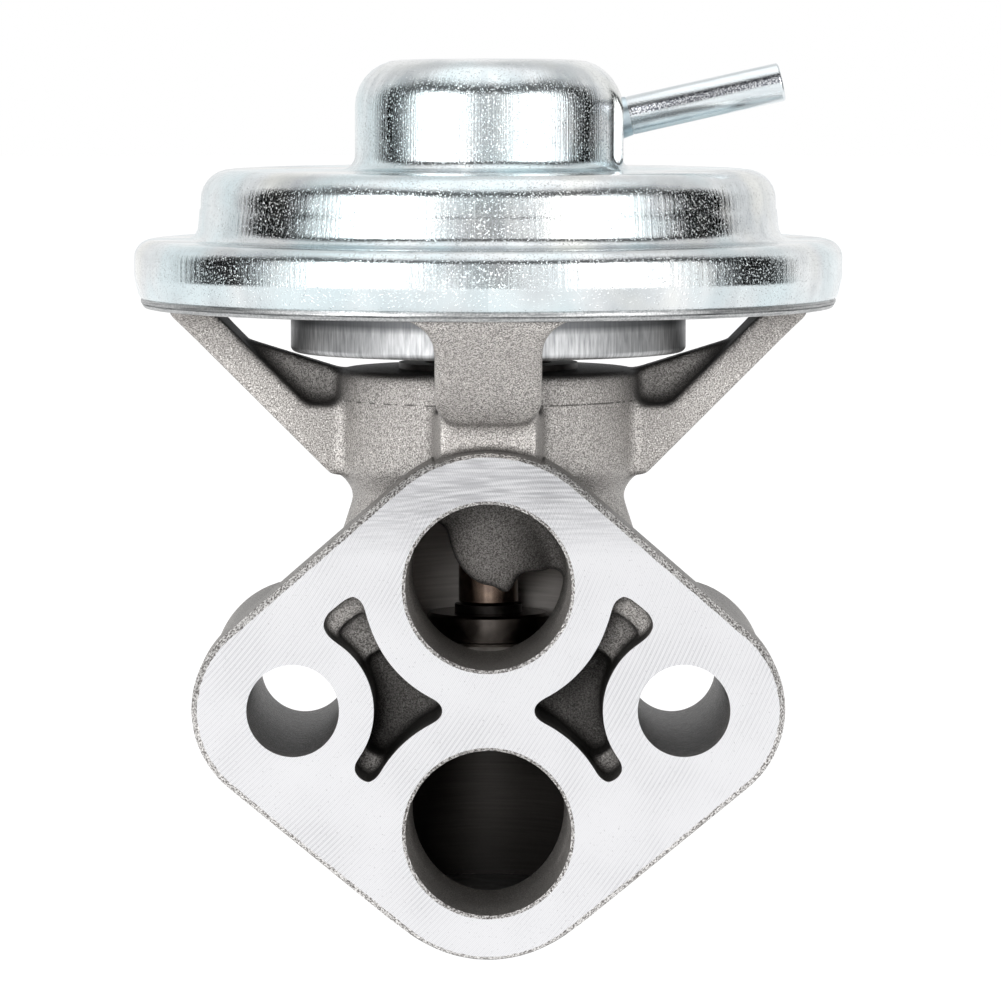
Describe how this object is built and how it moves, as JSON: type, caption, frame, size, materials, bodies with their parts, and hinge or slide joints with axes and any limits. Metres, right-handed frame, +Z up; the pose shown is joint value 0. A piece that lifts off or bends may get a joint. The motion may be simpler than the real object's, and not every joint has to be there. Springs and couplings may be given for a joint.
{
  "type": "egr valve",
  "caption": "Vacuum-operated exhaust gas recirculation valve: cast flanged body with ports and pockets, angled arms, a stepped steel diaphragm can and a hose nipple.",
  "frame": {"origin": "centre of the two-bolt pattern, on the milled face of the flange", "axes": "+X to the right, +Y from the milled face into the body, +Z up along the valve stem to the can"},
  "size_m": [0.0712, 0.0712, 0.0876],
  "materials": {
    "cast_body": "shot-blasted casting",
    "seat_steel": "turned",
    "plated_steel": "zinc plated",
    "bush_iron": "sintered",
    "seal_graphite": "pressed graphite",
    "stem_steel": "ground",
    "cover_steel": "drawn",
    "diaphragm_rubber": "matt",
    "spring_steel": "drawn wire",
    "zinc_can": "bright zinc",
    "braze": "zinc over braze"
  },
  "bodies": {
    "housing": {"valve_body": "cast_body", "valve_seat": "seat_steel", "core_plug": "plated_steel", "guide_bush": "bush_iron", "stem_seal": "seal_graphite", "seal_retainer": "plated_steel", "lower_cover": "cover_steel", "cover_screws": "plated_steel", "diaphragm": "diaphragm_rubber", "return_spring": "spring_steel", "spring_seat": "plated_steel", "upper_cover": "zinc_can", "vacuum_nipple": "zinc_can", "nipple_braze": "braze"},
    "valve": {"valve_stem": "stem_steel", "valve_head": "stem_steel", "head_collar": "stem_steel", "lower_plate": "plated_steel", "upper_plate": "plated_steel", "plate_washer": "plated_steel", "stem_nut": "plated_steel"}
  },
  "joints": [
    {"name": "valve_lift", "type": "slide", "parent": "housing", "child": "valve", "axis": [0, 0, 1], "range_m": [0, 0.0045], "stiffness_N_per_m": 5000, "springref_m": -0.004, "deforming": ["return_spring", "diaphragm"]}
  ]
}
